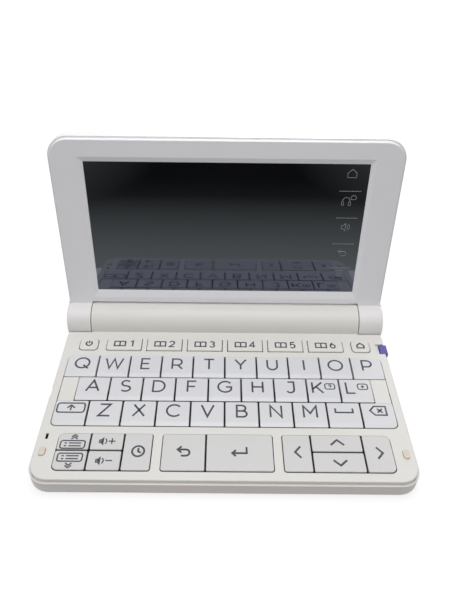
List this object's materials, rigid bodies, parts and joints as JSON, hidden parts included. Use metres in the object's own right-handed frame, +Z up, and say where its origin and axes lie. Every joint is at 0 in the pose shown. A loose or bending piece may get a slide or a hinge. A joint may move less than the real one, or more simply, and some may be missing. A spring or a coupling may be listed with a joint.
{
  "type": "electronic dictionary",
  "caption": "Pocket clamshell dictionary: QWERTY keyboard base, barrel hinge that holds the cells, and a lid with a touch screen; keys press, lid folds, stylus and battery cover slide out.",
  "frame": {"origin": "middle of the open part's footprint, on the desk under the rubber feet", "axes": "+X to the user's right along the hinge, +Y away from the user, +Z up; lid at its open rest angle"},
  "size_m": [0.1484, 0.1092, 0.0954],
  "materials": {
    "shell": "satin white ABS",
    "white_key": "satin",
    "grey_key": "satin painted",
    "cell_sleeve": "plain sleeve",
    "steel": "plated",
    "board": "solder resist",
    "clear_rubber": "matte",
    "speaker_frame": "black",
    "rubber": "matte",
    "stylus": "gloss violet",
    "display": "dark panel",
    "screen_glass": "polished"
  },
  "bodies": {
    "base": {"lower_case": "shell", "top_case": "shell", "batteries": "cell_sleeve", "battery_contacts": "steel", "circuit_board": "board", "key_sheet": "clear_rubber", "speaker": "speaker_frame", "case_screws": "steel", "rubber_feet": "rubber", "lid_pads": "rubber", "hinge_pins": "steel"},
    "lid": {"lid_cover": "shell", "lid_bezel": "shell", "lcd_panel": "display", "touch_glass": "screen_glass"},
    "stylus": {"stylus": "stylus"},
    "battery_cover": {"battery_cover": "shell"},
    "key_power": {"key_power": "white_key"},
    "key_home": {"key_home": "white_key"},
    "key_q": {"key_q": "grey_key"},
    "key_w": {"key_w": "grey_key"},
    "key_e": {"key_e": "grey_key"},
    "key_r": {"key_r": "grey_key"},
    "key_t": {"key_t": "grey_key"},
    "key_y": {"key_y": "grey_key"},
    "key_u": {"key_u": "grey_key"},
    "key_i": {"key_i": "grey_key"},
    "key_o": {"key_o": "grey_key"},
    "key_p": {"key_p": "grey_key"},
    "key_a": {"key_a": "grey_key"},
    "key_s": {"key_s": "grey_key"},
    "key_d": {"key_d": "grey_key"},
    "key_f": {"key_f": "grey_key"},
    "key_g": {"key_g": "grey_key"},
    "key_h": {"key_h": "grey_key"},
    "key_j": {"key_j": "grey_key"},
    "key_k": {"key_k": "grey_key"},
    "key_l": {"key_l": "grey_key"},
    "key_shift": {"key_shift": "grey_key"},
    "key_z": {"key_z": "grey_key"},
    "key_x": {"key_x": "grey_key"},
    "key_c": {"key_c": "grey_key"},
    "key_v": {"key_v": "grey_key"},
    "key_b": {"key_b": "grey_key"},
    "key_n": {"key_n": "grey_key"},
    "key_m": {"key_m": "grey_key"},
    "key_space": {"key_space": "grey_key"},
    "key_delete": {"key_delete": "grey_key"},
    "key_previous": {"key_previous": "grey_key"},
    "key_next": {"key_next": "grey_key"},
    "key_volume_up": {"key_volume_up": "grey_key"},
    "key_volume_down": {"key_volume_down": "grey_key"},
    "key_history": {"key_history": "grey_key"},
    "key_back": {"key_back": "grey_key"},
    "key_enter": {"key_enter": "grey_key"},
    "key_left": {"key_left": "grey_key"},
    "key_up": {"key_up": "grey_key"},
    "key_down": {"key_down": "grey_key"},
    "key_right": {"key_right": "grey_key"},
    "shortcut_keys": {"shortcut_keys": "white_key"}
  },
  "joints": [
    {"name": "lid_hinge", "type": "hinge", "parent": "base", "child": "lid", "pos_m": [0, 0.03284, 0.0094], "axis": [-1, 0, 0], "range_deg": [-98.8, 53.2]},
    {"name": "stylus_slide", "type": "slide", "parent": "base", "child": "stylus", "axis": [1, 0, 0], "range_m": [0, 0.095]},
    {"name": "battery_cover_slide", "type": "slide", "parent": "base", "child": "battery_cover", "axis": [0, 1, 0], "range_m": [0, 0.03]},
    {"name": "key_power_press", "type": "slide", "parent": "base", "child": "key_power", "axis": [0, 0, -1], "range_m": [0, 0.0006], "stiffness_N_per_m": 1000},
    {"name": "key_home_press", "type": "slide", "parent": "base", "child": "key_home", "axis": [0, 0, -1], "range_m": [0, 0.0006], "stiffness_N_per_m": 1000},
    {"name": "key_q_press", "type": "slide", "parent": "base", "child": "key_q", "axis": [0, 0, -1], "range_m": [0, 0.0006], "stiffness_N_per_m": 1000},
    {"name": "key_w_press", "type": "slide", "parent": "base", "child": "key_w", "axis": [0, 0, -1], "range_m": [0, 0.0006], "stiffness_N_per_m": 1000},
    {"name": "key_e_press", "type": "slide", "parent": "base", "child": "key_e", "axis": [0, 0, -1], "range_m": [0, 0.0006], "stiffness_N_per_m": 1000},
    {"name": "key_r_press", "type": "slide", "parent": "base", "child": "key_r", "axis": [0, 0, -1], "range_m": [0, 0.0006], "stiffness_N_per_m": 1000},
    {"name": "key_t_press", "type": "slide", "parent": "base", "child": "key_t", "axis": [0, 0, -1], "range_m": [0, 0.0006], "stiffness_N_per_m": 1000},
    {"name": "key_y_press", "type": "slide", "parent": "base", "child": "key_y", "axis": [0, 0, -1], "range_m": [0, 0.0006], "stiffness_N_per_m": 1000},
    {"name": "key_u_press", "type": "slide", "parent": "base", "child": "key_u", "axis": [0, 0, -1], "range_m": [0, 0.0006], "stiffness_N_per_m": 1000},
    {"name": "key_i_press", "type": "slide", "parent": "base", "child": "key_i", "axis": [0, 0, -1], "range_m": [0, 0.0006], "stiffness_N_per_m": 1000},
    {"name": "key_o_press", "type": "slide", "parent": "base", "child": "key_o", "axis": [0, 0, -1], "range_m": [0, 0.0006], "stiffness_N_per_m": 1000},
    {"name": "key_p_press", "type": "slide", "parent": "base", "child": "key_p", "axis": [0, 0, -1], "range_m": [0, 0.0006], "stiffness_N_per_m": 1000},
    {"name": "key_a_press", "type": "slide", "parent": "base", "child": "key_a", "axis": [0, 0, -1], "range_m": [0, 0.0006], "stiffness_N_per_m": 1000},
    {"name": "key_s_press", "type": "slide", "parent": "base", "child": "key_s", "axis": [0, 0, -1], "range_m": [0, 0.0006], "stiffness_N_per_m": 1000},
    {"name": "key_d_press", "type": "slide", "parent": "base", "child": "key_d", "axis": [0, 0, -1], "range_m": [0, 0.0006], "stiffness_N_per_m": 1000},
    {"name": "key_f_press", "type": "slide", "parent": "base", "child": "key_f", "axis": [0, 0, -1], "range_m": [0, 0.0006], "stiffness_N_per_m": 1000},
    {"name": "key_g_press", "type": "slide", "parent": "base", "child": "key_g", "axis": [0, 0, -1], "range_m": [0, 0.0006], "stiffness_N_per_m": 1000},
    {"name": "key_h_press", "type": "slide", "parent": "base", "child": "key_h", "axis": [0, 0, -1], "range_m": [0, 0.0006], "stiffness_N_per_m": 1000},
    {"name": "key_j_press", "type": "slide", "parent": "base", "child": "key_j", "axis": [0, 0, -1], "range_m": [0, 0.0006], "stiffness_N_per_m": 1000},
    {"name": "key_k_press", "type": "slide", "parent": "base", "child": "key_k", "axis": [0, 0, -1], "range_m": [0, 0.0006], "stiffness_N_per_m": 1000},
    {"name": "key_l_press", "type": "slide", "parent": "base", "child": "key_l", "axis": [0, 0, -1], "range_m": [0, 0.0006], "stiffness_N_per_m": 1000},
    {"name": "key_shift_press", "type": "slide", "parent": "base", "child": "key_shift", "axis": [0, 0, -1], "range_m": [0, 0.0006], "stiffness_N_per_m": 1000},
    {"name": "key_z_press", "type": "slide", "parent": "base", "child": "key_z", "axis": [0, 0, -1], "range_m": [0, 0.0006], "stiffness_N_per_m": 1000},
    {"name": "key_x_press", "type": "slide", "parent": "base", "child": "key_x", "axis": [0, 0, -1], "range_m": [0, 0.0006], "stiffness_N_per_m": 1000},
    {"name": "key_c_press", "type": "slide", "parent": "base", "child": "key_c", "axis": [0, 0, -1], "range_m": [0, 0.0006], "stiffness_N_per_m": 1000},
    {"name": "key_v_press", "type": "slide", "parent": "base", "child": "key_v", "axis": [0, 0, -1], "range_m": [0, 0.0006], "stiffness_N_per_m": 1000},
    {"name": "key_b_press", "type": "slide", "parent": "base", "child": "key_b", "axis": [0, 0, -1], "range_m": [0, 0.0006], "stiffness_N_per_m": 1000},
    {"name": "key_n_press", "type": "slide", "parent": "base", "child": "key_n", "axis": [0, 0, -1], "range_m": [0, 0.0006], "stiffness_N_per_m": 1000},
    {"name": "key_m_press", "type": "slide", "parent": "base", "child": "key_m", "axis": [0, 0, -1], "range_m": [0, 0.0006], "stiffness_N_per_m": 1000},
    {"name": "key_space_press", "type": "slide", "parent": "base", "child": "key_space", "axis": [0, 0, -1], "range_m": [0, 0.0006], "stiffness_N_per_m": 1000},
    {"name": "key_delete_press", "type": "slide", "parent": "base", "child": "key_delete", "axis": [0, 0, -1], "range_m": [0, 0.0006], "stiffness_N_per_m": 1000},
    {"name": "key_previous_press", "type": "slide", "parent": "base", "child": "key_previous", "axis": [0, 0, -1], "range_m": [0, 0.0006], "stiffness_N_per_m": 1000},
    {"name": "key_next_press", "type": "slide", "parent": "base", "child": "key_next", "axis": [0, 0, -1], "range_m": [0, 0.0006], "stiffness_N_per_m": 1000},
    {"name": "key_volume_up_press", "type": "slide", "parent": "base", "child": "key_volume_up", "axis": [0, 0, -1], "range_m": [0, 0.0006], "stiffness_N_per_m": 1000},
    {"name": "key_volume_down_press", "type": "slide", "parent": "base", "child": "key_volume_down", "axis": [0, 0, -1], "range_m": [0, 0.0006], "stiffness_N_per_m": 1000},
    {"name": "key_history_press", "type": "slide", "parent": "base", "child": "key_history", "axis": [0, 0, -1], "range_m": [0, 0.0006], "stiffness_N_per_m": 1000},
    {"name": "key_back_press", "type": "slide", "parent": "base", "child": "key_back", "axis": [0, 0, -1], "range_m": [0, 0.0006], "stiffness_N_per_m": 1000},
    {"name": "key_enter_press", "type": "slide", "parent": "base", "child": "key_enter", "axis": [0, 0, -1], "range_m": [0, 0.0006], "stiffness_N_per_m": 1000},
    {"name": "key_left_press", "type": "slide", "parent": "base", "child": "key_left", "axis": [0, 0, -1], "range_m": [0, 0.0006], "stiffness_N_per_m": 1000},
    {"name": "key_up_press", "type": "slide", "parent": "base", "child": "key_up", "axis": [0, 0, -1], "range_m": [0, 0.0006], "stiffness_N_per_m": 1000},
    {"name": "key_down_press", "type": "slide", "parent": "base", "child": "key_down", "axis": [0, 0, -1], "range_m": [0, 0.0006], "stiffness_N_per_m": 1000},
    {"name": "key_right_press", "type": "slide", "parent": "base", "child": "key_right", "axis": [0, 0, -1], "range_m": [0, 0.0006], "stiffness_N_per_m": 1000},
    {"name": "shortcut_keys_press", "type": "slide", "parent": "base", "child": "shortcut_keys", "axis": [0, 0, -1], "range_m": [0, 0.0006], "stiffness_N_per_m": 1000}
  ]
}
